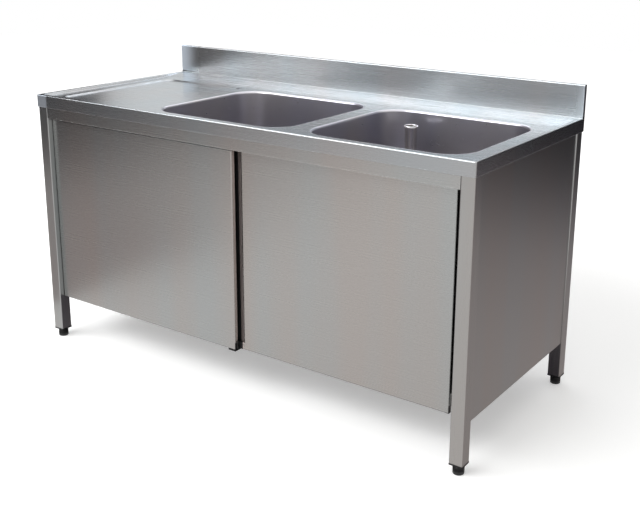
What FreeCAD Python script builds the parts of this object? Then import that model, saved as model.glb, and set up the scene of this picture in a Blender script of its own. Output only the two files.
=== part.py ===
"""Stainless steel catering sink unit: drainer, two bowls, cupboard with sliding doors.

Millimetres. +Z is up, +X is to the right and the front faces -Y. The origin lies on the
floor, under the middle of the worktop.
"""
import FreeCAD, Part
import math
import os

V = FreeCAD.Vector

# Overall sizes
unit_width = 1600.0
unit_depth = 700.0
top_height = 850.0
upstand_height = 100.0
upstand_thickness = 15.0

# Worktop: folded sheet with a raised rim, a sunk field and a sunk drainer
top_sheet = 1.5
edge_height = 40.0
edge_radius = 3.0
corner_radius = 5.0
lip_width = 25.0
rim_width = 12.0
rim_slope = 9.0
field_depth = 8.0
field_corner = 14.0
rear_slope = 128.0
rear_strip = 1.0
drainer_depth = 4.0
drainer_slope = 7.0
drainer_side_margin = 62.0
drainer_front_margin = 52.0
drainer_rear_margin = 152.0
drainer_corner = 26.0
drainer_bowl_gap = 44.0
board_thickness = 18.0
board_margin = 30.0
board_glue_gap = 0.1

# Pressed slopes, as (share of the width, share of the depth), level at both ends
press_curve = ((0.0, 0.0), (0.16, 0.045), (0.5, 0.5), (0.84, 0.955), (1.0, 1.0))

# Bowls
bowl_width = 500.0
bowl_length = 474.0
bowl_depth = 300.0
bowl_corner = 84.0
bowl_draft = 7.0
bowl_floor_radius = 22.0
bowl_sheet = 1.2
bowl_roll = 6.0
bowl_front_margin = 55.0
bowl_right_margin = 64.0
bowl_bridge = 68.0
pad_thickness = 5.0
pad_width = 300.0
pad_length = 190.0
pad_corner = 20.0

# Drain fittings, in the rear left corner of each bowl
drain_inset_side = 118.0
drain_inset_rear = 72.0
drain_flange_radius = 40.0
drain_flange_thickness = 2.0
drain_seat_radius = 30.0
drain_seat_depth = 3.0
drain_tail_radius = 23.9
drain_groove_radius = 22.6
drain_groove_width = 2.0
drain_neck_margin = 0.8
drain_bore_radius = 20.0
drain_tail_length = 66.0
drain_hole_clearance = 0.5
gasket_thickness = 3.0
gasket_radius = 36.0
locknut_across_flats = 64.0
locknut_height = 9.0
standpipe_radius = 19.0
standpipe_wall = 1.2
standpipe_rim_radius = 22.0
standpipe_rim_height = 5.0
standpipe_rim_round = 2.0
standpipe_mouth_round = 1.5
standpipe_below_top = 39.0
plug_clearance = 0.3
plug_length = 22.0
plug_lead_width = 1.0
plug_lead_height = 2.0
plug_collar_radius = 25.0
plug_collar_height = 6.0
strainer_radius = 26.0
strainer_seat_gap = 0.3
strainer_thickness = 1.5
strainer_hole_radius = 2.5
strainer_ring_radii = (9.0, 18.0)
strainer_hole_pitch = 9.4
strainer_knob_foot = 3.5
strainer_knob_neck = 2.5
strainer_knob_radius = 6.0
strainer_knob_height = 9.0
strainer_knob_head = 3.0

# Legs and feet
leg_size = 40.0
leg_wall = 1.5
leg_corner = 3.0
leg_front_setback = 4.0
leg_side_setback = 2.0
leg_bottom = 32.0
insert_collar = 4.0
insert_overhang = 0.6
insert_plug_length = 46.0
insert_clearance = 0.3
foot_radius = 16.0
foot_height = 27.7
foot_neck_radius = 11.0
foot_neck_height = 6.0
foot_edge_radius = 3.0
foot_stem_radius = 5.0
foot_stem_length = 44.0
foot_stem_clearance = 0.1

# Frame and panels
panel_sheet = 1.0
apron_sheet = 1.2
apron_height = 36.0
apron_top_flange = 52.0
apron_bottom_flange = 10.0
panel_recess = 3.0
panel_bottom = 145.0
panel_flange = 14.0
panel_bend = 2.0
shelf_height = 54.0
shelf_skirt = 20.0
shelf_front = 54.0
shelf_return = 30.0
shelf_clearance = 0.4

# Sliding doors
door_thickness = 13.0
door_sheet = 1.0
door_edge_radius = 3.0
door_bottom = 150.0
door_top_gap = 6.0
door_leg_gap = 1.0
door_meeting_offset = 14.0
door_overlap = 26.0
right_door_leg_gap = 25.0
door_open_margin = 44.0
grip_width = 48.0
grip_depth = 9.0
grip_lip_run = 18.0
grip_cap_length = 40.0
grip_bend_radius = 4.0
grip_root_radius = 4.0
grip_liner = 1.5
guide_slot = 7.0
guide_channel_wall = 1.2
guide_channel_height = 13.0
cap_length = 10.0
cap_height = 22.0
cap_end_wall = 5.0

# Door track, hangers and rollers
track_front_gap = 13.5
track_width = 40.0
track_height = 30.0
track_wall = 1.5
track_web = 2.0
track_lip = 5.0
roller_radius = 10.0
roller_width = 4.0
roller_lip_gap = 0.3
roller_side_gap = 0.45
axle_radius = 3.0
axle_clearance = 0.1
hanger_thickness = 3.0
hanger_width = 32.0
hanger_tang = 34.0
hanger_head = 7.0
hanger_inset = 70.0
buffer_gap = 0.4
hanger_slot_clearance = 0.2
roller_edge_radius = 0.6

# Centre guide under the doors
guide_width = 28.0
guide_plate = 3.0
guide_door_gap = 2.0
guide_pin_radius = 3.0
guide_pin_engagement = 10.0
guide_block_length = 30.0
guide_front_setback = 1.0

# Screws
screw_radius = 2.0
screw_head_radius = 4.0
screw_head_height = 2.2
screw_hole_clearance = 0.1
screw_grip = 6.0
screw_end_margin = 90.0
screws_per_rail = 5

# Cutting blocks reach this far past the faces that they open, and edges are picked this closely
cut_margin = 1.0
pick_margin = 0.01

# Places worked out from the sizes above
half_width = unit_width / 2
half_depth = unit_depth / 2
edge_bottom = top_height - edge_height
field_z = top_height - field_depth
upstand_face = half_depth - upstand_thickness
upstand_top = top_height + upstand_height
leg_outer_x = half_width - leg_side_setback
leg_inner_x = leg_outer_x - leg_size
leg_front_y = -half_depth + leg_front_setback
leg_back_y = leg_front_y + leg_size
rear_leg_y = -leg_back_y
panel_x = leg_outer_x - panel_recess
rear_panel_y = -leg_front_y - panel_recess
apron_bottom = edge_bottom - apron_height
door_top = apron_bottom - door_top_gap
flange_under = edge_bottom - apron_sheet
track_y = leg_front_y + track_front_gap
track_bottom = flange_under - track_height
channel_clear = (track_width - 3 * track_wall) / 2
front_channel_y = track_y + track_wall + channel_clear / 2
rear_channel_y = track_y + track_width - track_wall - channel_clear / 2
axle_z = track_bottom + track_wall + roller_lip_gap + roller_radius
shelf_y = leg_front_y + shelf_front
shelf_bottom = panel_bottom + panel_sheet
shelf_return_z = shelf_bottom + shelf_skirt
bowl_y = -half_depth + bowl_front_margin + bowl_roll + bowl_length / 2
right_bowl_x = half_width - bowl_right_margin - bowl_roll - bowl_width / 2
left_bowl_x = right_bowl_x - bowl_width - bowl_bridge
bowls_left_x = left_bowl_x - bowl_width / 2 - bowl_roll
bowl_floor_z = field_z - bowl_depth
drain_y = bowl_y + bowl_length / 2 - drain_inset_rear
door_travel = leg_inner_x - door_meeting_offset - door_open_margin
stop_reach = max(hanger_width / 2, roller_radius) + buffer_gap
worktop_screw_y = leg_front_y + track_front_gap / 2
guide_x = door_meeting_offset - guide_width / 2
guide_screw_x = (guide_x - guide_width / 4, guide_x + guide_width / 4)
guide_screw_y = shelf_y + guide_block_length / 2
drain_neck_length = bowl_sheet + gasket_thickness + locknut_height + drain_neck_margin


def box(x0, x1, y0, y1, z0, z1):
    """Box between two corners."""
    return Part.makeBox(x1 - x0, y1 - y0, z1 - z0, V(x0, y0, z0))


def cylinder(x, y, z, radius, height, axis=V(0, 0, 1)):
    """Cylinder that starts at a point and runs along an axis."""
    return Part.makeCylinder(radius, height, V(x, y, z), axis)


def rounded_wire(x0, x1, y0, y1, radius, z):
    """Closed wire of a rectangle with round corners, at one height."""
    corners = ((x1, y0, -90, 0), (x1, y1, 0, 90), (x0, y1, 90, 180), (x0, y0, 180, 270))
    points = []
    for x, y, start, end in corners:
        cx = x - math.copysign(radius, x - (x0 + x1) / 2)
        cy = y - math.copysign(radius, y - (y0 + y1) / 2)
        for angle in (start, (start + end) / 2, end):
            turn = math.radians(angle)
            points.append(V(cx + radius * math.cos(turn), cy + radius * math.sin(turn), z))
    edges = []
    for i in range(0, len(points), 3):
        edges.append(Part.Arc(points[i], points[i + 1], points[i + 2]).toShape())
        edges.append(Part.LineSegment(points[i + 2], points[(i + 3) % len(points)]).toShape())
    return Part.Wire(edges)


def rounded_prism(x0, x1, y0, y1, radius, z0, z1):
    """Upright block with round corners."""
    face = Part.Face(rounded_wire(x0, x1, y0, y1, radius, z0))
    return face.extrude(V(0, 0, z1 - z0))


def dish(x0, x1, y0, y1, radius, z_top, depth, slopes, grow=0.0):
    """Pressed pocket with soft edges: slopes are the widths of the left, right, front and rear slopes."""
    left, right, front, rear = slopes
    wires = []
    for along, down in press_curve:
        wires.append(rounded_wire(x0 + left * along - grow, x1 - right * along + grow,
                                  y0 + front * along - grow, y1 - rear * along + grow,
                                  radius + grow, z_top - depth * down - grow))
    return Part.makeLoft(wires, True, False)


def edges_where(shape, test):
    """Edges whose bounding box passes a test."""
    return [edge for edge in shape.Edges if test(edge.BoundBox)]


def revolved(points, x, y):
    """Solid of revolution about an upright axis, from (radius, height) points."""
    corners = [V(x + r, y, z) for r, z in points]
    face = Part.Face(Part.makePolygon(corners + corners[:1]))
    return face.revolve(V(x, y, 0), V(0, 0, 1), 360)


def extruded_profile(points, x0, x1):
    """Prism along X of a profile given as (y, z) points."""
    corners = [V(x0, y, z) for y, z in points]
    face = Part.Face(Part.makePolygon(corners + corners[:1]))
    return face.extrude(V(x1 - x0, 0, 0))


def mirrored_x(shape):
    """Mirror image across the middle plane of the unit."""
    return shape.mirror(V(0, 0, 0), V(1, 0, 0))


def export(name, solids):
    """Write one node, as one solid or as a group of separate solids."""
    shape = solids if not isinstance(solids, (list, tuple)) else Part.makeCompound(list(solids))
    shape.exportStep("parts/" + name + ".step")
    print(name, len(shape.Solids), "solids", round(shape.Volume / 1000.0, 2), "cm3",
          "valid" if shape.isValid() else "NOT VALID")


def worktop_envelope(inset):
    """Outer form of the folded worktop and its hollow upstand, drawn in by one sheet."""
    x = half_width - inset
    y = half_depth - inset
    slab = box(-x, x, -y, y, edge_bottom, top_height - inset)
    upstand = box(-x, x, upstand_face + inset, y, edge_bottom, upstand_top - inset)
    shape = slab.fuse(upstand).removeSplitter()
    uprights = edges_where(shape, lambda b: b.ZLength > edge_height / 2 and b.YMax < 0)
    shape = shape.makeFillet(corner_radius - inset, uprights)
    rim = edges_where(shape, lambda b: abs(b.ZMin - top_height + inset) < pick_margin
                      and b.ZLength < pick_margin and b.YMin < upstand_face + inset - pick_margin)
    shape = shape.makeFillet(edge_radius - inset, rim)
    crest = edges_where(shape, lambda b: b.ZMin > upstand_top - inset - pick_margin and b.XLength > x)
    return shape.makeFillet(edge_radius - inset, crest)


def field_pocket(grow):
    """Sunk field inside the raised rim, with the wide slope up to the upstand."""
    slopes = (rim_slope, rim_slope, rim_slope, rear_slope)
    x = half_width - rim_width
    return dish(-x, x, -half_depth + rim_width, upstand_face - rear_strip, field_corner,
                top_height, field_depth, slopes, grow)


def drainer_pocket(grow):
    """Sunk drainer to the left of the bowls."""
    x0 = -half_width + drainer_side_margin
    x1 = bowls_left_x - drainer_bowl_gap + drainer_slope
    y0 = -half_depth + drainer_front_margin
    y1 = half_depth - drainer_rear_margin
    slopes = (drainer_slope,) * 4
    return dish(x0, x1, y0, y1, drainer_corner, field_z, drainer_depth, slopes, grow)


def bowl_outline(x, grow, z0, z1):
    """Upright block on the outline of a bowl's rolled edge."""
    half_x = bowl_width / 2 + bowl_roll + grow
    half_y = bowl_length / 2 + bowl_roll + grow
    return rounded_prism(x - half_x, x + half_x, bowl_y - half_y, bowl_y + half_y,
                         bowl_corner + bowl_roll + grow, z0, z1)


def make_worktop():
    """Worktop sheet: envelope less its inner side, with pockets and bowl holes."""
    outer = worktop_envelope(0.0)
    inner = worktop_envelope(top_sheet)
    for pocket in (field_pocket, drainer_pocket):
        outer = outer.cut(pocket(0.0))
        inner = inner.cut(pocket(top_sheet))
    floor = box(-half_width, half_width, -half_depth, half_depth, edge_bottom, edge_bottom + top_sheet)
    lip_x = half_width - lip_width
    lip_y = half_depth - lip_width
    mouth = box(-lip_x, lip_x, -lip_y, lip_y, edge_bottom, edge_bottom + top_sheet)
    sheet = outer.cut(inner.cut(floor)).cut(mouth)
    for x in (left_bowl_x, right_bowl_x):
        sheet = sheet.cut(bowl_outline(x, 0.0, edge_bottom + top_sheet, top_height))
    for y in (worktop_screw_y, -worktop_screw_y):
        sheet = sheet.cut(Part.makeCompound(screw_holes(y, edge_bottom, top_sheet)))
    return sheet


def bowl_void(x, grow):
    """Space inside a bowl, flared into the rolled edge; grown by one sheet for the outside."""
    half_x = bowl_width / 2 + grow
    half_y = bowl_length / 2 + grow
    top_z = field_z - grow
    low_z = bowl_floor_z - grow
    radius = bowl_corner + grow
    top = rounded_wire(x - half_x, x + half_x, bowl_y - half_y, bowl_y + half_y, radius, top_z)
    low = rounded_wire(x - half_x + bowl_draft, x + half_x - bowl_draft,
                       bowl_y - half_y + bowl_draft, bowl_y + half_y - bowl_draft,
                       radius - bowl_draft / 2, low_z)
    cavity = Part.makeLoft([low, top], True, True)
    rounds = edges_where(cavity, lambda b: b.ZMax < low_z + pick_margin)
    cavity = cavity.makeFillet(bowl_floor_radius + grow, rounds)
    margin = 3 * bowl_roll
    slab = box(x - half_x - margin, x + half_x + margin, bowl_y - half_y - margin,
               bowl_y + half_y + margin, top_z, top_z + margin)
    void = cavity.fuse(slab)
    mouth = edges_where(void, lambda b: abs(b.ZMin - top_z) < pick_margin and b.ZLength < pick_margin
                        and x - half_x - pick_margin < b.XMin and b.XMax < x + half_x + pick_margin)
    return void.makeFillet(bowl_roll - grow, mouth)


def drain_x(bowl_x):
    """Middle of a bowl's drain."""
    return bowl_x - bowl_width / 2 + drain_inset_side


def make_bowl(x):
    """Pressed bowl with rolled edge, round corners and a hole for its drain."""
    shell = bowl_void(x, bowl_sheet).cut(bowl_void(x, 0.0))
    shell = shell.common(bowl_outline(x, 0.0, bowl_floor_z - 2 * bowl_sheet, field_z))
    hole_radius = drain_tail_radius + drain_hole_clearance
    hole = cylinder(drain_x(x), drain_y, bowl_floor_z - 2 * bowl_sheet, hole_radius, 4 * bowl_sheet)
    return shell.cut(hole)


def make_pad(x):
    """Damping pad under a bowl's floor, in front of the drain."""
    y1 = drain_y - drain_flange_radius - pad_corner
    z1 = bowl_floor_z - bowl_sheet
    return rounded_prism(x - pad_width / 2, x + pad_width / 2, y1 - pad_length, y1,
                         pad_corner, z1 - pad_thickness, z1)


def make_drain(x):
    """Flange with tail, gasket and locknut of one drain."""
    z = bowl_floor_z
    flange_top = z + drain_flange_thickness
    seat_z = flange_top - drain_seat_depth
    flange = revolved([(drain_bore_radius, z - drain_tail_length),
                       (drain_tail_radius, z - drain_tail_length),
                       (drain_tail_radius, z - drain_neck_length - drain_groove_width),
                       (drain_groove_radius, z - drain_neck_length - drain_groove_width),
                       (drain_groove_radius, z - drain_neck_length),
                       (drain_tail_radius, z - drain_neck_length),
                       (drain_tail_radius, z),
                       (drain_flange_radius, z),
                       (drain_flange_radius, z + drain_flange_thickness / 2),
                       (drain_flange_radius - drain_flange_thickness, flange_top),
                       (drain_seat_radius, flange_top),
                       (drain_bore_radius, seat_z)], x, drain_y)
    under = z - bowl_sheet
    gasket_hole = drain_tail_radius + drain_hole_clearance
    gasket = cylinder(x, drain_y, under - gasket_thickness, gasket_radius, gasket_thickness)
    gasket = gasket.cut(cylinder(x, drain_y, under - gasket_thickness, gasket_hole, gasket_thickness))
    nut_top = under - gasket_thickness
    radius = locknut_across_flats / math.sqrt(3)
    corners = []
    for i in range(7):
        turn = math.radians(60 * i)
        corners.append(V(x + radius * math.cos(turn), drain_y + radius * math.sin(turn),
                         nut_top - locknut_height))
    nut = Part.Face(Part.makePolygon(corners)).extrude(V(0, 0, locknut_height))
    nut = nut.cut(cylinder(x, drain_y, nut_top - locknut_height, drain_tail_radius, locknut_height))
    return flange, gasket, nut


def make_standpipe(x):
    """Overflow pipe with a rolled rim, and the plug that seats it in the drain."""
    flange_top = bowl_floor_z + drain_flange_thickness
    collar_top = flange_top + plug_clearance + plug_collar_height
    pipe_top = top_height - standpipe_below_top
    inner = standpipe_radius - standpipe_wall
    rim_z = pipe_top - standpipe_rim_height
    pipe = revolved([(inner, collar_top), (standpipe_radius, collar_top), (standpipe_radius, rim_z),
                     (standpipe_rim_radius, rim_z), (standpipe_rim_radius, pipe_top), (inner, pipe_top)],
                    x, drain_y)
    rim = edges_where(pipe, lambda b: b.XLength > 2 * standpipe_rim_radius - pick_margin)
    pipe = pipe.makeFillet(standpipe_rim_round, rim)
    mouth = edges_where(pipe, lambda b: b.ZMin > pipe_top - pick_margin
                        and b.XLength < 2 * inner + pick_margin)
    pipe = pipe.makeFillet(standpipe_mouth_round, mouth)
    plug_radius = drain_bore_radius - plug_clearance
    plug_bottom = bowl_floor_z - plug_length
    plug = revolved([(inner - standpipe_wall, plug_bottom), (plug_radius - plug_lead_width, plug_bottom),
                     (plug_radius, plug_bottom + plug_lead_height),
                     (plug_radius, flange_top + plug_clearance),
                     (plug_collar_radius, flange_top + plug_clearance),
                     (plug_collar_radius, collar_top), (inner - standpipe_wall, collar_top)], x, drain_y)
    return pipe, plug


def make_strainer(x):
    """Loose perforated strainer that lies on the cone of the drain without a standpipe."""
    seat_z = bowl_floor_z + drain_flange_thickness - drain_seat_depth
    share = (strainer_radius - drain_bore_radius) / (drain_seat_radius - drain_bore_radius)
    plate_z = seat_z + drain_seat_depth * share + strainer_seat_gap
    plate_top = plate_z + strainer_thickness
    knob_top = plate_z + strainer_knob_height
    disc = cylinder(x, drain_y, plate_z, strainer_radius, strainer_thickness)
    holes = []
    for ring_radius in strainer_ring_radii:
        count = round(2 * math.pi * ring_radius / strainer_hole_pitch)
        for i in range(count):
            turn = 2 * math.pi * i / count
            holes.append(cylinder(x + ring_radius * math.cos(turn), drain_y + ring_radius * math.sin(turn),
                                  plate_z, strainer_hole_radius, strainer_thickness))
    knob = revolved([(0, plate_top), (strainer_knob_foot, plate_top),
                     (strainer_knob_neck, knob_top - strainer_knob_head),
                     (strainer_knob_radius, knob_top), (0, knob_top)], x, drain_y)
    return disc.cut(Part.makeCompound(holes)).fuse(knob).removeSplitter()


def make_leg(x0, y0):
    """Square tube leg."""
    outer = rounded_prism(x0, x0 + leg_size, y0, y0 + leg_size, leg_corner, leg_bottom, edge_bottom)
    bore = rounded_prism(x0 + leg_wall, x0 + leg_size - leg_wall, y0 + leg_wall,
                         y0 + leg_size - leg_wall, leg_corner - leg_wall, leg_bottom, edge_bottom)
    return outer.cut(bore)


def make_insert(x0, y0):
    """Plastic insert with a collar, pushed into the leg's open end."""
    collar = rounded_prism(x0 - insert_overhang, x0 + leg_size + insert_overhang,
                           y0 - insert_overhang, y0 + leg_size + insert_overhang,
                           leg_corner, leg_bottom - insert_collar, leg_bottom)
    gap = leg_wall + insert_clearance
    plug = rounded_prism(x0 + gap, x0 + leg_size - gap, y0 + gap, y0 + leg_size - gap,
                         leg_corner - leg_wall, leg_bottom, leg_bottom + insert_plug_length)
    middle = leg_size / 2
    bore = cylinder(x0 + middle, y0 + middle, leg_bottom - insert_collar,
                    foot_stem_radius + foot_stem_clearance, insert_collar + insert_plug_length)
    return collar.fuse(plug).removeSplitter().cut(bore)


def make_foot(x0, y0):
    """Adjustable foot: round pad, neck and threaded stem, as one turned form."""
    x = x0 + leg_size / 2
    y = y0 + leg_size / 2
    pad_top = foot_height - foot_neck_height
    stem_top = foot_height + foot_stem_length
    foot = revolved([(0, 0), (foot_radius, 0), (foot_radius, pad_top), (foot_neck_radius, foot_height),
                     (foot_stem_radius, foot_height), (foot_stem_radius, stem_top), (0, stem_top)], x, y)
    rims = edges_where(foot, lambda b: b.ZMax < pick_margin and b.XLength > foot_radius)
    return foot.makeFillet(foot_edge_radius, rims)


def screw(x, y, z_head, axis=V(0, 0, 1)):
    """Pan head screw; its head starts at the point and its shank runs along the axis."""
    head = cylinder(x, y, z_head, screw_head_radius, screw_head_height, axis)
    start = V(x, y, z_head) + axis * screw_head_height
    shank = Part.makeCylinder(screw_radius, screw_grip, start, axis)
    return head.fuse(shank).removeSplitter()


def screw_row(y, z_head, axis):
    """One row of screws along a rail."""
    return [screw(x, y, z_head, axis) for x in rail_positions()]


def rail_positions():
    """Even spacing of screws along a rail between the legs."""
    start = -leg_inner_x + screw_end_margin
    step = 2 * -start / (screws_per_rail - 1)
    return [start + i * step for i in range(screws_per_rail)]


def screw_holes(y, z, height):
    """Row of upright clearance holes along a rail."""
    radius = screw_radius + screw_hole_clearance
    return [cylinder(x, y, z, radius, height) for x in rail_positions()]


def make_front_apron():
    """Folded rail between the front legs; its top flange carries the worktop and the track."""
    y0 = leg_front_y
    t = apron_sheet
    points = [(y0, edge_bottom), (y0, apron_bottom), (y0 + apron_bottom_flange, apron_bottom),
              (y0 + apron_bottom_flange, apron_bottom + t), (y0 + t, apron_bottom + t),
              (y0 + t, flange_under), (y0 + apron_top_flange, flange_under),
              (y0 + apron_top_flange, edge_bottom)]
    apron = extruded_profile(points, -leg_inner_x, leg_inner_x)
    return apron.cut(Part.makeCompound(screw_holes(worktop_screw_y, flange_under, t)))


def make_rear_rail():
    """Rail between the rear legs, the apron's mirror image."""
    return make_front_apron().mirror(V(0, 0, 0), V(0, 1, 0))


def make_side_panel():
    """Right side panel: a tray with flanges on four sides, set between the legs."""
    outer = box(panel_x - panel_flange, panel_x, leg_back_y, rear_leg_y, panel_bottom, edge_bottom)
    corners = edges_where(outer, lambda b: b.XMin > panel_x - pick_margin)
    outer = outer.makeFillet(panel_bend, corners)
    t = panel_sheet
    inner = box(panel_x - panel_flange, panel_x - t, leg_back_y + t, rear_leg_y - t,
                panel_bottom + t, edge_bottom - t)
    hollow = edges_where(inner, lambda b: b.XMin > panel_x - t - pick_margin)
    return outer.cut(inner.makeFillet(panel_bend - t, hollow))


def make_rear_panel():
    """Rear panel: a tray set between the rear legs, under the rear rail."""
    x = leg_inner_x
    t = panel_sheet
    outer = box(-x, x, rear_panel_y - panel_flange, rear_panel_y, panel_bottom, apron_bottom)
    inner = box(-x + t, x - t, rear_panel_y - panel_flange, rear_panel_y - t,
                panel_bottom + t, apron_bottom - t)
    return outer.cut(inner)


def make_shelf():
    """Bottom shelf: a folded tray, notched round the rear legs.

    Its sides stand on the panels' flanges, and its shorter front wall ends in a return.
    """
    t = panel_sheet
    x = panel_x - panel_bend - shelf_clearance
    y1 = rear_panel_y - panel_sheet - shelf_clearance
    z1 = shelf_bottom + shelf_height
    notch_x = leg_inner_x - panel_sheet - shelf_clearance
    notch_y = rear_leg_y - panel_sheet - shelf_clearance

    def plan(inset, low, high):
        """Slab on the shelf's outline, notched at the rear corners and drawn in by an inset."""
        slab = box(-x + inset, x - inset, shelf_y + inset, y1 - inset, low, high)
        for side in (-1, 1):
            near = side * (notch_x - inset)
            far = side * 2 * half_width
            slab = slab.cut(box(min(near, far), max(near, far), notch_y - inset, half_depth, low, high))
        return slab

    shell = plan(0.0, shelf_bottom, z1).cut(plan(t, shelf_bottom, z1 - t))
    shell = shell.cut(box(-x + t, x - t, shelf_y, shelf_y + t, shelf_bottom, shelf_return_z))
    front_return = box(-leg_inner_x, leg_inner_x, shelf_y, shelf_y + shelf_return, shelf_return_z,
                       shelf_return_z + t)
    shell = shell.fuse(front_return).removeSplitter()
    radius = screw_radius + screw_hole_clearance
    for x in guide_screw_x:
        shell = shell.cut(cylinder(x, guide_screw_y, shelf_return_z, radius, t))
    return shell


def make_track():
    """Double channel track with lips that the rollers run on."""
    outer = box(-leg_inner_x, leg_inner_x, track_y, track_y + track_width, track_bottom, flange_under)
    for y in (front_channel_y, rear_channel_y):
        half = channel_clear / 2
        slot = half - track_lip
        low = track_bottom + track_wall
        outer = outer.cut(box(-leg_inner_x, leg_inner_x, y - half, y + half, low, flange_under - track_web))
        outer = outer.cut(box(-leg_inner_x, leg_inner_x, y - slot, y + slot, track_bottom, low))
        outer = outer.cut(Part.makeCompound(screw_holes(y, flange_under - track_web, track_web)))
    return outer


class Door:
    """One hollow sliding door: where it hangs and the pieces that it is made of."""

    def __init__(self, x0, x1, channel_y, grip):
        self.x0 = x0
        self.x1 = x1
        self.y = channel_y
        self.front = channel_y - door_thickness / 2
        self.back = channel_y + door_thickness / 2
        self.grip = grip
        self.hanger_x = (self.x0 + hanger_inset, self.x1 - hanger_inset)

    def grip_lip_x(self, y, grow):
        """Where the slanted lip of the finger recess stands at a depth, moved out by grow."""
        slant = grip_lip_run / grip_depth
        root_x = self.x0 + grip_width - grip_lip_run
        return root_x + (self.front + grip_depth - y) * slant + grow * math.hypot(1.0, slant)

    def grip_recess(self, grow):
        """Finger recess along the left edge, above the corner cap, with a slanted lip."""
        near = self.front - grip_depth
        deep = self.front + grip_depth + grow
        root_x = self.grip_lip_x(deep, grow)
        left = self.x0 - cut_margin
        z0 = door_bottom + cap_height - grow
        corners = [V(left, near, z0), V(self.grip_lip_x(near, grow), near, z0), V(root_x, deep, z0),
                   V(left, deep, z0)]
        face = Part.Face(Part.makePolygon(corners + corners[:1]))
        cut = face.extrude(V(0, 0, door_top + cut_margin - z0))
        root = edges_where(cut, lambda b: b.ZLength > cap_height and abs(b.XMin - root_x) < pick_margin
                           and b.YMin > deep - pick_margin)
        return cut.makeFillet(grip_root_radius + grow, root)

    def envelope(self, inset):
        """Outer form of the door, drawn in by one sheet for its inside."""
        front = self.front + inset
        shape = box(self.x0 + inset, self.x1 - inset, front, self.back,
                    door_bottom + inset, door_top - inset)
        if self.grip:
            shape = shape.cut(self.grip_recess(inset))
            lip = self.grip_lip_x(front, inset)
            bend = edges_where(shape, lambda b: b.ZLength > cap_height and abs(b.XMin - lip) < pick_margin
                               and b.YMax < front + pick_margin)
            shape = shape.makeFillet(grip_bend_radius - inset, bend)
        left = self.x0 + inset + pick_margin
        right = self.x1 - inset - pick_margin
        face_edges = edges_where(shape, lambda b: b.YMax < front + pick_margin
                                 and (b.XLength > 2 * grip_width or b.ZLength > 2 * cap_height
                                      and (b.XMax < left or b.XMin > right)))
        return shape.makeFillet(door_edge_radius - inset, face_edges)

    def slot_space(self):
        """Space along the door's bottom that the pin of the centre guide slides in."""
        start = self.x0 + (cap_end_wall if self.grip else cap_length)
        top = door_bottom + door_sheet + guide_channel_height - guide_channel_wall
        return box(start, self.x1 - cap_length, self.y - guide_slot / 2,
                   self.y + guide_slot / 2, door_bottom - cut_margin, top)

    def cap_places(self):
        """Places of the plastic caps in the two bottom corners; the grip's cap is the long one."""
        t = door_sheet
        left_length = grip_cap_length if self.grip else cap_length
        left_front = self.front if self.grip else self.front + t
        top = door_bottom + cap_height
        return [box(self.x0, self.x0 + left_length, left_front, self.back - t, door_bottom, top),
                box(self.x1 - cap_length, self.x1, self.front + t, self.back - t, door_bottom, top)]

    def hanger_slots(self):
        """Slots in the door's top for the hangers."""
        half = hanger_width / 2 + hanger_slot_clearance
        thick = hanger_thickness / 2 + hanger_slot_clearance
        return [box(x - half, x + half, self.y - thick, self.y + thick,
                    door_top - 2 * door_sheet, door_top + cut_margin) for x in self.hanger_x]

    def outer_skin(self):
        """Folded front sheet with its four edges."""
        skin = self.envelope(0.0).cut(self.envelope(door_sheet))
        cuts = [self.slot_space()] + self.cap_places() + self.hanger_slots()
        return skin.cut(Part.makeCompound(cuts))

    def inner_skin(self):
        """Flat rear sheet inside the folded edges."""
        t = door_sheet
        sheet = box(self.x0 + t, self.x1 - t, self.back - t, self.back, door_bottom + t, door_top - t)
        radius = screw_radius + screw_hole_clearance
        for x, z in self.screw_places():
            sheet = sheet.cut(cylinder(x, self.back - 2 * t, z, radius, 3 * t, V(0, 1, 0)))
        return sheet

    def core(self):
        """Stiff filling board between the skins."""
        t = door_sheet
        low = door_bottom + cap_height + t
        high = door_top - hanger_tang - t
        left = self.x0 + t + (grip_width if self.grip else 0.0)
        block = box(left, self.x1 - t, self.front + t, self.back - t, low, high)
        return block.common(self.envelope(t))

    def guide_channel(self):
        """Plastic channel in the bottom that the guide pin slides in."""
        half = guide_slot / 2 + guide_channel_wall
        x0 = self.x0 + (grip_cap_length if self.grip else cap_length)
        z0 = door_bottom + door_sheet
        outer = box(x0, self.x1 - cap_length, self.y - half, self.y + half, z0,
                    z0 + guide_channel_height)
        return outer.common(self.envelope(door_sheet)).cut(self.slot_space())

    def caps(self):
        """Plastic caps that close the bottom corners; the pin slides on into the grip's cap."""
        return [cap.cut(self.slot_space()) for cap in self.cap_places()]

    def grip_lining(self):
        """Dark lining on the floor of the finger recess."""
        y0 = self.front + grip_depth - grip_liner
        x1 = self.x0 + grip_width - grip_lip_run - grip_liner
        return box(self.x0, x1, y0, self.front + grip_depth,
                   door_bottom + cap_height, door_top)

    def screw_places(self):
        """Screws through the rear sheet into the hangers, as (x, z)."""
        z = door_top - hanger_tang / 2
        return [(x + side * hanger_width / 4, z) for x in self.hanger_x for side in (-1, 1)]

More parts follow.
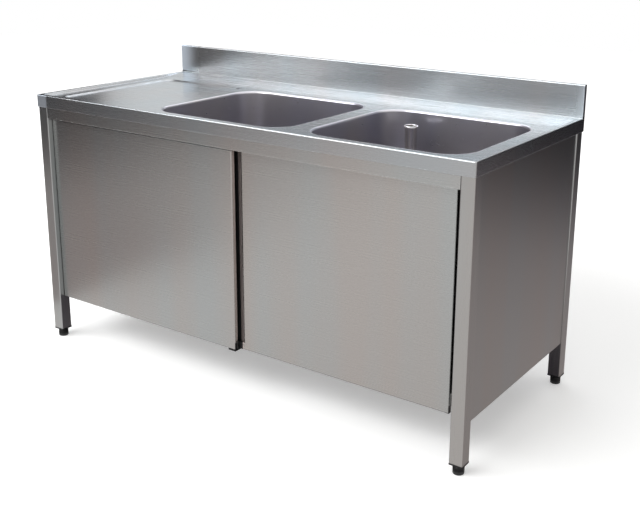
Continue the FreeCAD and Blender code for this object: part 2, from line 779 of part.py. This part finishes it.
    def hangers(self):
        """Plates that carry the door on its two rollers."""
        top = axle_z + hanger_head
        t = door_sheet
        pieces = []
        for x in self.hanger_x:
            plate = box(x - hanger_width / 2, x + hanger_width / 2, self.y - hanger_thickness / 2,
                        self.y + hanger_thickness / 2, door_top - hanger_tang, top)
            shoulders = edges_where(plate, lambda b: b.ZMin > top - pick_margin
                                    and b.XLength < pick_margin)
            plate = plate.makeFillet(hanger_head, shoulders)
            tang = box(x - hanger_width / 2, x + hanger_width / 2, self.y, self.back - t,
                       door_top - hanger_tang, door_top - hanger_tang / 3)
            plate = plate.fuse(tang).removeSplitter()
            bore = cylinder(x, self.y - hanger_thickness, axle_z, axle_radius + axle_clearance,
                            2 * hanger_thickness, V(0, 1, 0))
            pieces.append(plate.cut(bore))
        cut = [cylinder(x, self.y, z, screw_radius, door_thickness, V(0, 1, 0))
               for x, z in self.screw_places()]
        return [piece.cut(Part.makeCompound(cut)) for piece in pieces]

    def screws(self):
        """Screws of the hangers."""
        head_y = self.back + screw_head_height
        return [screw(x, head_y, z, V(0, -1, 0)) for x, z in self.screw_places()]

    def roller(self, index):
        """Pair of wheels of one hanger, and their axle."""
        x = self.hanger_x[index]
        inner = channel_clear / 2 - roller_side_gap - roller_width
        wheels = []
        for side in (-1, 1):
            start = self.y + side * (inner + (roller_width if side < 0 else 0.0))
            wheel = cylinder(x, start, axle_z, roller_radius, roller_width, V(0, 1, 0))
            rims = edges_where(wheel, lambda b: b.XLength > roller_radius)
            wheel = wheel.makeFillet(roller_edge_radius, rims)
            wheels.append(wheel.cut(cylinder(x, start, axle_z, axle_radius, roller_width, V(0, 1, 0))))
        length = 2 * (inner + roller_width)
        axle = cylinder(x, self.y - length / 2, axle_z, axle_radius, length, V(0, 1, 0))
        return wheels, axle


left_door = Door(-leg_inner_x + door_leg_gap, door_meeting_offset, front_channel_y, False)
right_door = Door(door_meeting_offset - door_overlap, leg_inner_x - right_door_leg_gap,
                  rear_channel_y, True)


def make_buffers():
    """Rubber blocks that end the travel of each door at both ends of its channel."""
    pieces = []
    for door, low, high in ((left_door, 0.0, door_travel), (right_door, -door_travel, 0.0)):
        first = door.hanger_x[0] + low - stop_reach
        last = door.hanger_x[1] + high + stop_reach
        half = channel_clear / 2
        z0 = track_bottom + track_wall
        z1 = axle_z + roller_radius / 2
        for x0, x1 in ((-leg_inner_x, first), (last, leg_inner_x)):
            pieces.append(box(x0, x1, door.y - half, door.y + half, z0, z1))
    return pieces


def make_guide():
    """Plastic guide under the meeting doors, with one pin for each door."""
    x0 = guide_x - guide_width / 2
    x1 = guide_x + guide_width / 2
    top = door_bottom - guide_door_gap
    block = box(x0, x1, shelf_y, shelf_y + guide_block_length, top - guide_plate, shelf_return_z)
    arm = box(x0, x1, left_door.front + guide_front_setback, shelf_y, top - guide_plate, top)
    guide = block.fuse(arm)
    for door in (left_door, right_door):
        pin = cylinder(guide_x, door.y, top, guide_pin_radius, guide_door_gap + guide_pin_engagement)
        guide = guide.fuse(pin)
    guide = guide.removeSplitter()
    for x in guide_screw_x:
        guide = guide.cut(cylinder(x, guide_screw_y, shelf_return_z - screw_grip, screw_radius, screw_grip))
    return guide


os.makedirs("parts", exist_ok=True)

export("worktop", make_worktop())
for name, bowl_x in (("left", left_bowl_x), ("right", right_bowl_x)):
    export(name + "_bowl", make_bowl(bowl_x))
    export(name + "_bowl_damping_pad", make_pad(bowl_x))
    flange, gasket, nut = make_drain(drain_x(bowl_x))
    export(name + "_drain_flange", flange)
    export(name + "_drain_gasket", gasket)
    export(name + "_drain_locknut", nut)
pipe, plug = make_standpipe(drain_x(right_bowl_x))
export("standpipe", pipe)
export("standpipe_plug", plug)
export("left_strainer", make_strainer(drain_x(left_bowl_x)))

board_top = field_z - drainer_depth - top_sheet - board_glue_gap
export("drainer_board", box(-half_width + board_margin, bowls_left_x - 2 * bowl_sheet,
                            -half_depth + board_margin, upstand_face - board_margin,
                            board_top - board_thickness, board_top))

inserts = []
for depth_name, y0 in (("front", leg_front_y), ("rear", rear_leg_y)):
    for side_name, x0 in (("left", -leg_outer_x), ("right", leg_inner_x)):
        export("leg_" + depth_name + "_" + side_name, make_leg(x0, y0))
        export("foot_" + depth_name + "_" + side_name, make_foot(x0, y0))
        inserts.append(make_insert(x0, y0))
export("leg_inserts", inserts)

channel_rows = (front_channel_y, rear_channel_y)
track_holes = [hole for y in channel_rows for hole in screw_holes(y, flange_under, apron_sheet)]
export("front_apron", make_front_apron().cut(Part.makeCompound(track_holes)))
export("rear_rail", make_rear_rail())
worktop_screws = [one for y in (worktop_screw_y, -worktop_screw_y)
                  for one in screw_row(y, flange_under - screw_head_height, V(0, 0, 1))]
export("worktop_screws", worktop_screws)
track_screws = [one for y in channel_rows
                for one in screw_row(y, flange_under - track_web - screw_head_height, V(0, 0, 1))]
export("track_screws", track_screws)
right_panel = make_side_panel()
export("side_panel_right", right_panel)
export("side_panel_left", mirrored_x(right_panel))
export("rear_panel", make_rear_panel())
export("bottom_shelf", make_shelf())
export("centre_guide", make_guide())
guide_head_z = shelf_return_z + panel_sheet + screw_head_height
export("guide_screws", [screw(x, guide_screw_y, guide_head_z, V(0, 0, -1)) for x in guide_screw_x])
export("door_track", make_track())
export("track_buffers", make_buffers())

for name, door in (("left_door", left_door), ("right_door", right_door)):
    export(name + "_outer_skin", door.outer_skin())
    export(name + "_inner_skin", door.inner_skin())
    export(name + "_core", door.core())
    export(name + "_guide_channel", door.guide_channel())
    export(name + "_corner_caps", door.caps())
    export(name + "_hangers", door.hangers())
    export(name + "_hanger_screws", door.screws())
    for index, place in enumerate(("left", "right")):
        wheels, axle = door.roller(index)
        export(name + "_wheels_" + place, wheels)
        export(name + "_axle_" + place, axle)
export("right_door_grip_lining", right_door.grip_lining())
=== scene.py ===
"""Looks of the stainless steel sink unit: finishes of its pieces, the studio and the camera.

Places are in metres, as in the frame. The sizes that a finish is called with are in mm.
"""
import math

import bpy
import numpy as np
from mathutils import Matrix, Vector

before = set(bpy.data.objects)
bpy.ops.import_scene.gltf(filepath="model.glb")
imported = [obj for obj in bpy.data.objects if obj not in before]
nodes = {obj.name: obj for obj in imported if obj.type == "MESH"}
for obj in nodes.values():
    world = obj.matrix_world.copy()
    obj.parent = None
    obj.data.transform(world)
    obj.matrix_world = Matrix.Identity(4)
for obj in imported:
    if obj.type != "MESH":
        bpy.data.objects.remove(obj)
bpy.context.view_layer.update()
MM = 0.001


# Places on the unit

def node_box(name):
    """Lowest and highest corner of a CAD node."""
    points = nodes[name].data.vertices
    places = np.empty(3 * len(points))
    points.foreach_get("co", places)
    places = places.reshape(-1, 3)
    return places.min(axis=0), places.max(axis=0)


LEFT, FRONT, _ = node_box("worktop")[0]
RIGHT, REAR, TOP = node_box("worktop")[1]
RIGHT_DOOR_LEFT = node_box("right_door_outer_skin")[0][0]


# Colours and shader nodes

NOISE_LOW = 0.3
NOISE_HIGH = 0.7    # nearly all of a noise's values lie between these two


def srgb(code):
    """Linear colour of an sRGB hex code."""
    channels = [int(code[i:i + 2], 16) / 255.0 for i in (1, 3, 5)]
    return tuple(c / 12.92 if c <= 0.04045 else ((c + 0.055) / 1.055) ** 2.4 for c in channels) + (1.0,)


def tinted(code, share):
    """Linear colour of an sRGB hex code, made lighter or darker by a share of itself."""
    return tuple(min(1.0, c * (1 + share)) for c in srgb(code)[:3]) + (1.0,)


def add(tree, kind, settings=None, **inputs):
    """One shader node with its settings and inputs.

    An input goes by its name, with _ for a space, or by _ and its number. It takes a value, an output
    of another node, or a node, which stands for its first output.
    """
    made = tree.nodes.new(kind)
    for name, value in (settings or {}).items():
        setattr(made, name, value)
    for name, value in inputs.items():
        socket = made.inputs[int(name[1:]) if name[0] == "_" else name.replace("_", " ")]
        if isinstance(value, bpy.types.Node):
            value = value.outputs[0]
        if isinstance(value, bpy.types.NodeSocket):
            tree.links.new(value, socket)
        else:
            socket.default_value = value
    return made


def new_material(name):
    """Empty material and the shader tree that fills it."""
    material = bpy.data.materials.new(name)
    material.use_nodes = True
    material.node_tree.nodes.clear()
    return material, material.node_tree


def grains(tree, place, widths, detail=3.0):
    """Random grains of the given sizes in mm along X, Y and Z."""
    scale = tuple(1.0 / (w * MM) for w in widths)
    sized = add(tree, "ShaderNodeMapping", Vector=place, Scale=scale)
    return add(tree, "ShaderNodeTexNoise", Vector=sized, Scale=1.0, Detail=detail, Roughness=0.6)


def rounded_edges(tree):
    """Normal that rounds each bend and cut edge, and a mask of these edges."""
    edge_radius = 2.2 * MM
    flat_cosine = 0.995
    bent_cosine = 0.9
    rounded = add(tree, "ShaderNodeBevel", {"samples": 4}, Radius=edge_radius)
    flat = add(tree, "ShaderNodeNewGeometry").outputs["Normal"]
    level = add(tree, "ShaderNodeVectorMath", {"operation": "DOT_PRODUCT"}, _0=rounded, _1=flat)
    mask = add(tree, "ShaderNodeMapRange", Value=level.outputs["Value"], From_Min=flat_cosine,
               From_Max=bent_cosine)
    return rounded, mask


def brushed_steel(name, cool, warm, roughness, anisotropy, grain, across, sway=(160, 160, 2400), tone=0.008,
                  wear=0.010, wear_and_painted_highlight=None):
    """Ground stainless steel sheet, AISI 304.

    The belt leaves fine parallel scratches, so the gloss is drawn out across them. Real scratches are
    0.1 mm wide, too fine to show, so they are drawn 2 to 3 mm wide and faint. The rolled sheet isn't
    quite flat, which gives broad soft bands from a cool to a warm grey. Edges are rounded by filing and
    handling and are rougher; along them the colour is also painted lighter, a painted highlight.

    grain and sway are the sizes in mm of a scratch and of a band, and across is the direction across the
    grain. tone and wear are what a scratch adds to the lightness and the roughness. The last argument
    gives the mask, colour and roughness of places that were ground over or are dulled by hands, and of
    places painted paler as a highlight.
    """
    fine_grain = [w * 0.45 for w in grain]
    fine_share = 0.4
    scratch_depth = 0.1 * MM
    scratch_strength = 0.006
    edge_rougher = 0.16
    # Share by which the colour is painted lighter along the edges, as a highlight
    edge_painted_highlight = 0.35
    material, tree = new_material(name)
    place = add(tree, "ShaderNodeTexCoord").outputs["Object"]
    scratches = add(tree, "ShaderNodeMix", {"data_type": "FLOAT"}, _0=fine_share,
                    _2=grains(tree, place, grain), _3=grains(tree, place, fine_grain))
    bands = add(tree, "ShaderNodeMapRange", Value=grains(tree, place, sway, 1.0), From_Min=0.35,
                From_Max=0.65)
    shade = add(tree, "ShaderNodeMix", {"data_type": "RGBA"}, _0=bands, _6=srgb(cool),
                _7=srgb(warm)).outputs[2]
    gloss = add(tree, "ShaderNodeMapRange", Value=scratches, From_Min=NOISE_LOW, From_Max=NOISE_HIGH,
                To_Min=roughness - wear, To_Max=roughness + wear)
    # Worn or ground places, and places painted paler as a highlight, take their own colour and roughness
    if wear_and_painted_highlight:
        mask, patch_colour, patch_roughness = wear_and_painted_highlight(tree, place)
        shade = add(tree, "ShaderNodeMix", {"data_type": "RGBA"}, _0=mask, _6=shade,
                    _7=patch_colour).outputs[2]
        gloss = add(tree, "ShaderNodeMix", {"data_type": "FLOAT"}, _0=mask, _2=gloss, _3=patch_roughness)
    rounded, edge = rounded_edges(tree)
    gloss = add(tree, "ShaderNodeMath", {"operation": "MULTIPLY_ADD"}, _0=edge, _1=edge_rougher, _2=gloss)
    lightness = add(tree, "ShaderNodeMapRange", Value=scratches, From_Min=NOISE_LOW, From_Max=NOISE_HIGH,
                    To_Min=1.0 - tone, To_Max=1.0 + tone)
    # Painted highlight: the colour is made lighter along each rounded edge
    lightness = add(tree, "ShaderNodeMath", {"operation": "MULTIPLY_ADD"}, _0=edge, _1=edge_painted_highlight,
                    _2=lightness)
    shade = add(tree, "ShaderNodeVectorMath", {"operation": "SCALE"}, _0=shade, Scale=lightness)
    relief = add(tree, "ShaderNodeBump", Strength=scratch_strength, Distance=scratch_depth, Height=scratches,
                 Normal=rounded)
    turn = add(tree, "ShaderNodeVectorTransform",
               {"vector_type": "VECTOR", "convert_from": "OBJECT", "convert_to": "WORLD"}, Vector=across)
    surface = add(tree, "ShaderNodeBsdfPrincipled", Base_Color=shade, Metallic=1.0, Roughness=gloss,
                  Anisotropic=anisotropy, Normal=relief, Tangent=turn)
    add(tree, "ShaderNodeOutputMaterial", Surface=surface)
    return material


def weld_patch_and_painted_end_highlights(tree, place):
    """Mask of the worktop's welded front corner, ground with a coarser disc and painted paler, and of a
    painted highlight on the upstand's two ends, with their pale tone and roughness.

    The corner lies at the front edge's left end, 45 mm long and ragged. The upstand's ends carry the
    painted highlight, which fades towards the middle. It is strongest at the left, because it is measured
    from a point right of the middle.
    """
    weld_end = LEFT + 46 * MM
    weld_fade = 10 * MM
    weld_strength = 0.7
    front_face = FRONT + 2 * MM
    upstand_foot = TOP - 94 * MM
    upstand_shift = 30 * MM
    fade_start = RIGHT - 60 * MM
    fade_end = RIGHT + 25 * MM
    x, y, z = add(tree, "ShaderNodeSeparateXYZ", Vector=place).outputs
    ragged = add(tree, "ShaderNodeMath", {"operation": "MULTIPLY_ADD"}, _0=grains(tree, place, (14, 14, 30)),
                 _1=-weld_fade, _2=x)
    left = add(tree, "ShaderNodeMapRange", {"interpolation_type": "SMOOTHSTEP"}, Value=ragged,
               From_Min=weld_end, From_Max=weld_end - weld_fade, To_Max=weld_strength)
    front = add(tree, "ShaderNodeMath", {"operation": "LESS_THAN"}, _0=y, _1=front_face)
    corner = add(tree, "ShaderNodeMath", {"operation": "MULTIPLY"}, _0=left, _1=front)
    shifted = add(tree, "ShaderNodeMath", {"operation": "SUBTRACT"}, _0=x, _1=upstand_shift)
    out = add(tree, "ShaderNodeMath", {"operation": "ABSOLUTE"}, _0=shifted)
    ends = add(tree, "ShaderNodeMapRange", {"interpolation_type": "SMOOTHSTEP"}, Value=out,
               From_Min=fade_start, From_Max=fade_end)
    raised = add(tree, "ShaderNodeMath", {"operation": "GREATER_THAN"}, _0=z, _1=upstand_foot)
    painted_end_highlight = add(tree, "ShaderNodeMath", {"operation": "MULTIPLY"}, _0=ends, _1=raised)
    mask = add(tree, "ShaderNodeMath", {"operation": "MAXIMUM"}, _0=corner, _1=painted_end_highlight)
    # Pale bluish tone: the ground weld painted paler, and the painted highlight on the upstand's ends
    return mask, srgb("#c9d2dc"), 0.45


def handled_lip(tree, place):
    """Mask of the slanted lip of the right door's finger recess, with the tone and the roughness that
    fingers give it."""
    lip_middle = RIGHT_DOOR_LEFT + 34.5 * MM
    lip_width = 17 * MM
    x = add(tree, "ShaderNodeSeparateXYZ", Vector=place).outputs["X"]
    shifted = add(tree, "ShaderNodeMath", {"operation": "SUBTRACT"}, _0=x, _1=lip_middle)
    out = add(tree, "ShaderNodeMath", {"operation": "ABSOLUTE"}, _0=shifted)
    mask = add(tree, "ShaderNodeMath", {"operation": "LESS_THAN"}, _0=out, _1=lip_width / 2)
    return mask, srgb("#c8bcb8"), 0.6


def moulded(name, colour, roughness, grit, relief_depth, metallic=0.0, tone=0.12):
    """Moulded, plated or sawn surface: a grit of the given size and depth in mm, and faint cloudy tones."""
    cloud_size = 33.333 * MM
    wear = 0.06
    material, tree = new_material(name)
    place = add(tree, "ShaderNodeTexCoord").outputs["Object"]
    speckle = add(tree, "ShaderNodeTexNoise", Vector=place, Scale=1.0 / (grit * MM), Detail=3.0)
    clouds = add(tree, "ShaderNodeTexNoise", Vector=place, Scale=1.0 / cloud_size, Detail=2.0)
    shade = add(tree, "ShaderNodeMix", {"data_type": "RGBA"}, _0=clouds, _6=tinted(colour, -tone),
                _7=tinted(colour, tone)).outputs[2]
    gloss = add(tree, "ShaderNodeMapRange", Value=speckle, To_Min=roughness - wear, To_Max=roughness + wear)
    relief = add(tree, "ShaderNodeBump", Strength=0.25, Distance=relief_depth * MM, Height=speckle)
    surface = add(tree, "ShaderNodeBsdfPrincipled", Base_Color=shade, Metallic=metallic, Roughness=gloss,
                  Normal=relief)
    add(tree, "ShaderNodeOutputMaterial", Surface=surface)
    return material


# Finishes

# Cool and warm greys between which the rolled sheet sways
COOL = "#aeb1b1"
WARM = "#b2aeab"
# A scratch of the grinding belt as it is drawn, in mm
LONG = 420
FINE = 2.4
ALONG_X = dict(roughness=0.27, anisotropy=0.35, grain=(LONG, FINE, FINE), across=(0, 1, 1))

# Cold-rolled stainless steel sheet ground with a 220-grit belt: a soft grey gloss drawn out across the grain
sheet_along_x = brushed_steel("satin_stainless_sheet_along_x", COOL, WARM, **ALONG_X)
# The same sheet with a finger lip that hands have dulled
door_steel = brushed_steel("satin_stainless_door_with_finger_lip", COOL, WARM, wear_and_painted_highlight=handled_lip, **ALONG_X)
# The same sheet, painted bluer for the sky light on its top, with its welded front corner ground over and
# painted paler, and a painted highlight on the upstand's ends
worktop_steel = brushed_steel("satin_stainless_worktop", "#aeb3b6", "#b1b1b2", wear_and_painted_highlight=weld_patch_and_painted_end_highlights,
                              **ALONG_X)
# Side panels, ground from front to rear
sheet_along_y = brushed_steel("satin_stainless_sheet_along_y", COOL, WARM, roughness=0.30, anisotropy=0.5,
                              grain=(FINE, LONG, FINE), across=(1, 0, 1))
# Welded square tube, ground along its length: upright streaks
tube_upright = brushed_steel("satin_stainless_tube", COOL, WARM, roughness=0.28, anisotropy=0.5,
                             grain=(FINE, FINE, LONG), across=(1, 1, 0))
# Deep-drawn bowl, polished after pressing: no grain, an even silky grey
bowl_steel = brushed_steel("pressed_satin_stainless_bowl", "#c0bfc9", "#c6c1be", roughness=0.28,
                           anisotropy=0.0, grain=(40, 40, 14), across=(0, 0, 1), sway=(240, 240, 600),
                           tone=0.01, wear=0.008)
# Drawn tube and stamped drain fittings, buffed: bright, with crisp highlights
bright_steel = brushed_steel("polished_stainless_tube", "#e0e0e4", "#e6e2e0", roughness=0.18, anisotropy=0.0,
                             grain=(6, 6, 90), across=(1, 1, 0), sway=(40, 40, 200), tone=0.01, wear=0.01)

# Bright zinc plating on pressed steel: pale bluish grey with small cloudy spangles
zinc = moulded("bright_zinc_plated_steel", "#b9bcc0", roughness=0.32, grit=1.2, relief_depth=0.02,
               metallic=1.0)
# Injection-moulded black polyamide with an eroded grain: near black, a broad dull highlight
plastic = moulded("black_moulded_polyamide", "#0c0c0e", roughness=0.5, grit=1.0, relief_depth=0.03)
# Pressed black rubber: matt, slightly bluish black
rubber = moulded("black_rubber", "#141417", roughness=0.75, grit=1.5, relief_depth=0.05)
# Moulded natural nylon: creamy white and waxy
nylon = moulded("white_moulded_nylon", "#dcdbd5", roughness=0.4, grit=1.0, relief_depth=0.02)
# Chipboard faced with white melamine paper: pale, even, finely dimpled
board = moulded("melamine_faced_chipboard", "#d9d6cf", roughness=0.55, grit=1.5, relief_depth=0.03)
# Sawn chipboard inside the doors: mottled straw brown, rough
chipboard = moulded("raw_chipboard", "#b08d62", roughness=0.85, grit=3.0, relief_depth=0.15, tone=0.25)

FINISHES = (
    (worktop_steel, ("worktop",)),
    (door_steel, ("right_door_outer_skin",)),
    (sheet_along_x, ("front_apron", "rear_rail", "rear_panel", "bottom_shelf", "left_door_outer_skin",
                     "left_door_inner_skin", "right_door_inner_skin")),
    (sheet_along_y, ("side_panel_left", "side_panel_right")),
    (tube_upright, ("leg_front_left", "leg_front_right", "leg_rear_left", "leg_rear_right")),
    (bowl_steel, ("left_bowl", "right_bowl")),
    (bright_steel, ("standpipe", "left_strainer", "left_drain_flange", "right_drain_flange")),
    (zinc, ("door_track", "worktop_screws", "track_screws", "guide_screws", "left_door_hangers",
            "right_door_hangers", "left_door_hanger_screws", "right_door_hanger_screws",
            "left_door_axle_left", "left_door_axle_right", "right_door_axle_left", "right_door_axle_right")),
    (plastic, ("leg_inserts", "foot_front_left", "foot_front_right", "foot_rear_left", "foot_rear_right",
               "left_door_corner_caps", "right_door_corner_caps", "right_door_grip_lining", "centre_guide",
               "left_drain_locknut", "right_drain_locknut")),
    (rubber, ("left_drain_gasket", "right_drain_gasket", "standpipe_plug", "track_buffers",
              "left_bowl_damping_pad", "right_bowl_damping_pad")),
    (nylon, ("left_door_wheels_left", "left_door_wheels_right", "right_door_wheels_left",
             "right_door_wheels_right", "left_door_guide_channel", "right_door_guide_channel")),
    (board, ("drainer_board",)),
    (chipboard, ("left_door_core", "right_door_core")),
)
for material, names in FINISHES:
    for name in names:
        for slot in nodes[name].material_slots:
            slot.link = "DATA"
            slot.material = material
missed = sorted(set(nodes) - {name for _, names in FINISHES for name in names})
assert not missed, missed


# Studio

ROOM = 9.0              # half its width
LEFT_WALL = -4.6
LIFT = 10 * MM          # a cloth over the floor
GAP = 10 * MM           # between the unit and the cloths round it
NEAR = FRONT - GAP


def level_card(x0, x1, y0, y1, z):
    """Corners of a card that lies level."""
    return [(x0, y0, z), (x1, y0, z), (x1, y1, z), (x0, y1, z)]


def upright_card(x0, x1, y0, y1, height):
    """Corners of a card that stands on the floor from one point of the plan to another."""
    return [(x0, y0, 0), (x1, y1, 0), (x1, y1, height), (x0, y0, height)]


def plane(name, corners):
    """Flat card between four corners."""
    mesh = bpy.data.meshes.new(name)
    mesh.from_pydata(corners, [], [(0, 1, 2, 3)])
    card = bpy.data.objects.new(name, mesh)
    bpy.context.scene.collection.objects.link(card)
    return card


def seen_directly(tree):
    """1 for what the camera sees, also mirrored or through a clear piece, and 0 for light on matt ones."""
    path = add(tree, "ShaderNodeLightPath").outputs
    seen = path["Is Camera Ray"]
    for kind in ("Is Glossy Ray", "Is Transmission Ray"):
        seen = add(tree, "ShaderNodeMath", {"operation": "MAXIMUM"}, _0=seen, _1=path[kind])
    return seen


def studio_floor():
    """Pale floor that shows white to the camera and in the steel, and keeps the unit's shadow. Its glow is
    weaker near the unit, a painted shade that darkens the floor and the shadow round it.
    """
    glow_start = 1.2
    glow_end = 3.0
    # Weaker glow near the unit: a painted shade round it
    near_glow = 0.36
    far_glow = 0.7
    floor = plane("floor", level_card(-ROOM, ROOM, -ROOM, ROOM, 0))
    material, tree = new_material("pale_paper_floor")
    place = add(tree, "ShaderNodeTexCoord").outputs["Object"]
    away = add(tree, "ShaderNodeVectorMath", {"operation": "LENGTH"}, _0=place).outputs["Value"]
    level = add(tree, "ShaderNodeMapRange", {"interpolation_type": "SMOOTHSTEP"}, Value=away,
                From_Min=glow_start, From_Max=glow_end, To_Min=near_glow, To_Max=far_glow)
    strength = add(tree, "ShaderNodeMath", {"operation": "MULTIPLY"}, _0=seen_directly(tree), _1=level)
    glow = add(tree, "ShaderNodeEmission", Color=srgb("#ffffff"), Strength=strength)
    paper = add(tree, "ShaderNodeBsdfDiffuse", Color=srgb("#e9e8e6"))
    both = add(tree, "ShaderNodeAddShader", _0=glow, _1=paper)
    add(tree, "ShaderNodeOutputMaterial", Surface=both)
    floor.data.materials.append(material)


def studio_cloth(name, corners, start, end, tones):
    """Cloth that only the steel sees; its tones run from one point to another."""
    cloth = plane(name, corners)
    for visible in ("camera", "shadow", "diffuse", "transmission"):
        setattr(cloth, "visible_" + visible, False)
    material, tree = new_material(name + "_weave")
    place = add(tree, "ShaderNodeTexCoord").outputs["Object"]
    run = Vector(end) - Vector(start)
    step = run / run.length_squared
    along = add(tree, "ShaderNodeVectorMath", {"operation": "DOT_PRODUCT"}, _0=place, _1=step)
    share = add(tree, "ShaderNodeMath", {"operation": "SUBTRACT"}, _0=along.outputs["Value"],
                _1=Vector(start).dot(step))
    ramp = add(tree, "ShaderNodeValToRGB", Fac=share)
    while len(ramp.color_ramp.elements) < len(tones):
        ramp.color_ramp.elements.new(0.5)
    for element, (position, colour) in zip(ramp.color_ramp.elements, tones):
        element.position = position
        element.color = srgb(colour)
    glow = add(tree, "ShaderNodeEmission", Color=ramp, Strength=1.0)
    add(tree, "ShaderNodeOutputMaterial", Surface=glow)
    cloth.data.materials.append(material)


def lamp(name, place, aim, size, power, colour):
    """Rectangular softbox, with its power in watts."""
    data = bpy.data.lights.new(name, "AREA")
    data.shape = "RECTANGLE"
    data.size, data.size_y = size
    data.energy = power
    data.color = srgb(colour)[:3]
    box = bpy.data.objects.new(name, data)
    bpy.context.scene.collection.objects.link(box)
    box.location = place
    box.visible_camera = False
    box.rotation_euler = (Vector(aim) - Vector(place)).to_track_quat("-Z", "Y").to_euler()


def world_light():
    """White room: strength 1 to the camera and in the steel, and a softer level on matt surfaces."""
    matt_level = 0.45
    world = bpy.data.worlds.new("studio")
    bpy.context.scene.world = world
    world.use_nodes = True
    tree = world.node_tree
    tree.nodes.clear()
    level = add(tree, "ShaderNodeMapRange", Value=seen_directly(tree), To_Min=matt_level, To_Max=1.0)
    sky = add(tree, "ShaderNodeBackground", Color=srgb("#ffffff"), Strength=level)
    add(tree, "ShaderNodeOutputWorld", Surface=sky)


def set_camera():
    """Camera near the place and angles that the photograph was taken from."""
    azimuth, elevation, roll = (math.radians(a) for a in (34.2, 15.3, 0.6))
    place = (1.8034, -2.3824, 1.3797)
    back = Vector((math.sin(azimuth) * math.cos(elevation), -math.cos(azimuth) * math.cos(elevation),
                   math.sin(elevation)))
    right = (-back).cross(Vector((0, 0, 1))).normalized()
    up = right.cross(-back)
    x_axis = math.cos(roll) * right + math.sin(roll) * up
    y_axis = -math.sin(roll) * right + math.cos(roll) * up
    turn = Matrix((x_axis, y_axis, back)).transposed().to_4x4()
    data = bpy.data.cameras.new("camera")
    data.sensor_width = 36.0
    data.lens = 54.58
    data.shift_x = -0.0384
    data.shift_y = -0.1
    camera = bpy.data.objects.new("camera", data)
    bpy.context.scene.collection.objects.link(camera)
    camera.matrix_world = Matrix.Translation(place) @ turn
    bpy.context.scene.camera = camera


studio_floor()
# Floor before the unit, for the doors, the apron and the front edge: white at the right, dark at the left
studio_cloth("front_floor_cloth", level_card(-ROOM, ROOM, -ROOM, NEAR, LIFT), (1.0, 0, 0), (LEFT_WALL, 0, 0),
             [(0.0, "#e6e2e0"), (0.3, "#f2f0ef"), (0.46, "#e0dbd8"), (0.57, "#c2bab8"), (0.66, "#867e7d"),
              (0.72, "#3c393c"), (0.78, "#1c1a1f"), (1.0, "#1a181e")])
# Strip at the left, over the front cloth, for the lower left of the left door
studio_cloth("left_floor_cloth", level_card(-ROOM, -1.0, -1.6, NEAR, 2 * LIFT), (-1.0, 0, 0), (-ROOM, 0, 0),
             [(0.0, "#b4aaa8"), (1.0, "#a89e9c")])
# Floor right of the unit, for the right panel: darker to the rear
studio_cloth("right_floor_cloth", level_card(RIGHT, ROOM, NEAR, ROOM, LIFT), (0, NEAR, 0), (0, 4.0, 0),
             [(0.0, "#aea6a4"), (0.2, "#aaa2a1"), (0.42, "#9c9494"), (0.62, "#6e676a"), (0.85, "#1e1b20")])
# Dark card under the unit that only the steel sees: a painted shadow, the unit's shade on the floor as the
# steel reflects it
studio_cloth("painted_shadow_under_unit", level_card(LEFT, RIGHT, NEAR, REAR + GAP, LIFT), (0, NEAR, 0), (0, 0, 0),
             [(0.0, "#6a6468"), (1.0, "#38343a")])
# Left wall, for the upper left of the doors, and for the upstand from the right end: pale in the middle
studio_cloth("left_wall_cloth", upright_card(LEFT_WALL, LEFT_WALL, -4.6, 3.3, 5.5), (0, -4.6, 0), (0, 3.3, 0),
             [(0.0, "#1a181e"), (0.36, "#201e24"), (0.5, "#a6a2a6"), (0.66, "#a6a2a6"), (0.84, "#28262c"),
              (1.0, "#2a282e")])
# Rear wall from the unit's right end on, for the right panel: dark
studio_cloth("right_wall_cloth", upright_card(RIGHT, ROOM, 7, 7, 5), (0, 0, 0), (0, 0, 5.0),
             [(0.0, "#18151a"), (1.0, "#2a272c")])
# The rest of the rear wall, for the worktop and the bowls: pale at both ends, dark between
studio_cloth("rear_wall_cloth", upright_card(-ROOM, RIGHT, 6.9, 6.9, 4.5), (-ROOM, 0, 0), (RIGHT, 0, 0),
             [(0.0, "#ffffff"), (0.2, "#f4f8fa"), (0.3, "#8a9096"), (0.38, "#565c62"), (0.5, "#62686e"),
              (0.62, "#8c9298"), (0.72, "#c8ced2"), (1.0, "#f0f4f8")])
lamp("rear_softbox", place=(-2.9, 4.4, 4.6), aim=(0.2, -0.3, 0.85), size=(3.2, 1.9), power=31.0,
     colour="#e8f2ff")
lamp("front_softbox", place=(-1.9, -3.3, 3.5), aim=(-0.2, 0.0, 0.6), size=(5.0, 1.8), power=215.0,
     colour="#fbfdff")
lamp("top_softbox", place=(0.0, -0.4, 4.0), aim=(0.0, 0.0, 0.85), size=(6.0, 6.0), power=70.0,
     colour="#ffffff")
world_light()
set_camera()
bpy.context.scene.view_settings.view_transform = "Standard"
